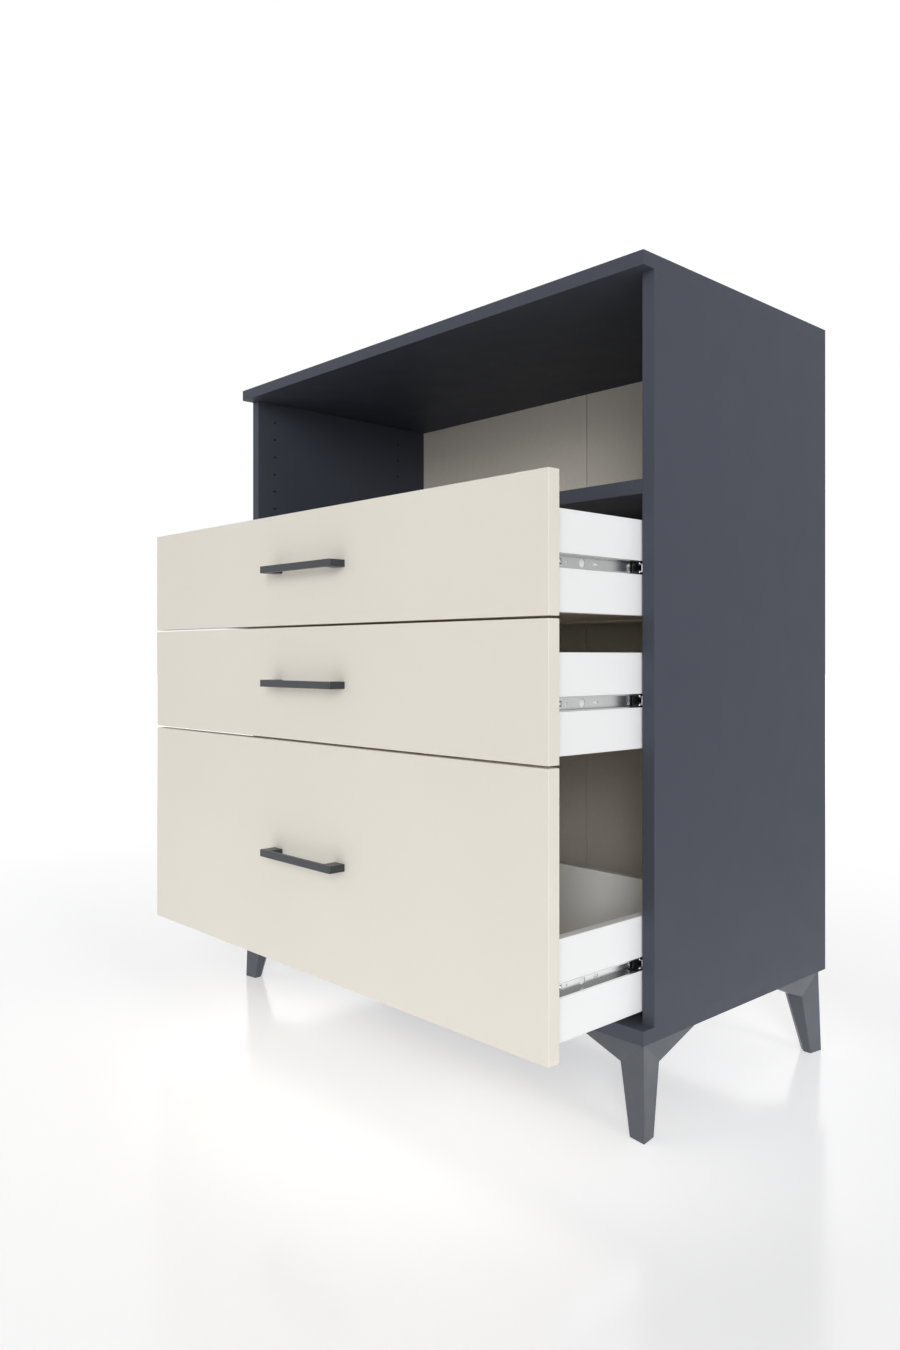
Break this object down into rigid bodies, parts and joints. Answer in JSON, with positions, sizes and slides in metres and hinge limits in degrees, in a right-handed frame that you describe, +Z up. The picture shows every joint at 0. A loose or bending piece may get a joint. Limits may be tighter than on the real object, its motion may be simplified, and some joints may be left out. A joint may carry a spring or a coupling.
{
  "type": "commode chest",
  "caption": "Chest with sliding drawers on ball runners below an open compartment, with bar handles, a thin back and splayed corner feet.",
  "frame": {"origin": "on the floor below the middle of the object's box, with every drawer pulled out as in the picture", "axes": "+Z up, -Y towards the front where the drawers slide out, +X to the right seen from the front"},
  "size_m": [0.9, 0.6456, 1.075],
  "materials": {
    "carcass_board": "dark grey melamine-faced board, matt",
    "front_board": "cream melamine-faced board, matt",
    "box_board": "white coated drawer-side board",
    "hardboard": "thin hardboard with a painted beige face",
    "joining_tape": "joining strip on the rear of the back sheets",
    "foot_plastic": "moulded plastic, dark grey, satin",
    "handle_metal": "dark grey powder coat",
    "zinc_steel": "bright zinc-plated rolled steel",
    "cage_plastic": "black moulded plastic that holds steel balls"
  },
  "bodies": {
    "carcass": {"top_panel": "carcass_board", "bottom_panel": "carcass_board", "left_side": "carcass_board", "right_side": "carcass_board", "fixed_shelf": "carcass_board", "back_panel_left": "hardboard", "back_panel_right": "hardboard", "back_joint_strip": "joining_tape", "foot_front_left": "foot_plastic", "foot_front_right": "foot_plastic", "foot_rear_left": "foot_plastic", "foot_rear_right": "foot_plastic", "drawer_1_cabinet_runner_left": "zinc_steel", "drawer_1_cabinet_runner_right": "zinc_steel", "drawer_2_cabinet_runner_left": "zinc_steel", "drawer_2_cabinet_runner_right": "zinc_steel", "drawer_3_cabinet_runner_left": "zinc_steel", "drawer_3_cabinet_runner_right": "zinc_steel"},
    "drawer_1": {"drawer_1_front": "front_board", "drawer_1_handle": "handle_metal", "drawer_1_handle_screw_left": "zinc_steel", "drawer_1_handle_screw_right": "zinc_steel", "drawer_1_box_left": "box_board", "drawer_1_box_right": "box_board", "drawer_1_box_back": "box_board", "drawer_1_bottom": "hardboard", "drawer_1_runner_left": "zinc_steel", "drawer_1_runner_right": "zinc_steel"},
    "drawer_2": {"drawer_2_front": "front_board", "drawer_2_handle": "handle_metal", "drawer_2_handle_screw_left": "zinc_steel", "drawer_2_handle_screw_right": "zinc_steel", "drawer_2_box_left": "box_board", "drawer_2_box_right": "box_board", "drawer_2_box_back": "box_board", "drawer_2_bottom": "hardboard", "drawer_2_runner_left": "zinc_steel", "drawer_2_runner_right": "zinc_steel"},
    "drawer_3": {"drawer_3_front": "front_board", "drawer_3_handle": "handle_metal", "drawer_3_handle_screw_left": "zinc_steel", "drawer_3_handle_screw_right": "zinc_steel", "drawer_3_box_left": "box_board", "drawer_3_box_right": "box_board", "drawer_3_box_back": "box_board", "drawer_3_bottom": "hardboard", "drawer_3_runner_left": "zinc_steel", "drawer_3_runner_right": "zinc_steel"},
    "ball_cages_1": {"drawer_1_ball_cage_left": "cage_plastic", "drawer_1_ball_cage_right": "cage_plastic"},
    "ball_cages_2": {"drawer_2_ball_cage_left": "cage_plastic", "drawer_2_ball_cage_right": "cage_plastic"},
    "ball_cages_3": {"drawer_3_ball_cage_left": "cage_plastic", "drawer_3_ball_cage_right": "cage_plastic"}
  },
  "joints": [
    {"name": "drawer_1_slide", "type": "slide", "parent": "carcass", "child": "drawer_1", "axis": [0, -1, 0], "range_m": [-0.172, 0.088]},
    {"name": "drawer_2_slide", "type": "slide", "parent": "carcass", "child": "drawer_2", "axis": [0, -1, 0], "range_m": [-0.172, 0.088]},
    {"name": "drawer_3_slide", "type": "slide", "parent": "carcass", "child": "drawer_3", "axis": [0, -1, 0], "range_m": [-0.172, 0.088]},
    {"name": "ball_cages_1_slide", "type": "slide", "parent": "carcass", "child": "ball_cages_1", "axis": [0, -1, 0], "range_m": [-0.086, 0.044]},
    {"name": "ball_cages_2_slide", "type": "slide", "parent": "carcass", "child": "ball_cages_2", "axis": [0, -1, 0], "range_m": [-0.086, 0.044]},
    {"name": "ball_cages_3_slide", "type": "slide", "parent": "carcass", "child": "ball_cages_3", "axis": [0, -1, 0], "range_m": [-0.086, 0.044]}
  ],
  "couplings": [
    {"joint": "ball_cages_1_slide", "follows": "drawer_1_slide", "ratio": 0.5},
    {"joint": "ball_cages_2_slide", "follows": "drawer_2_slide", "ratio": 0.5},
    {"joint": "ball_cages_3_slide", "follows": "drawer_3_slide", "ratio": 0.5}
  ]
}
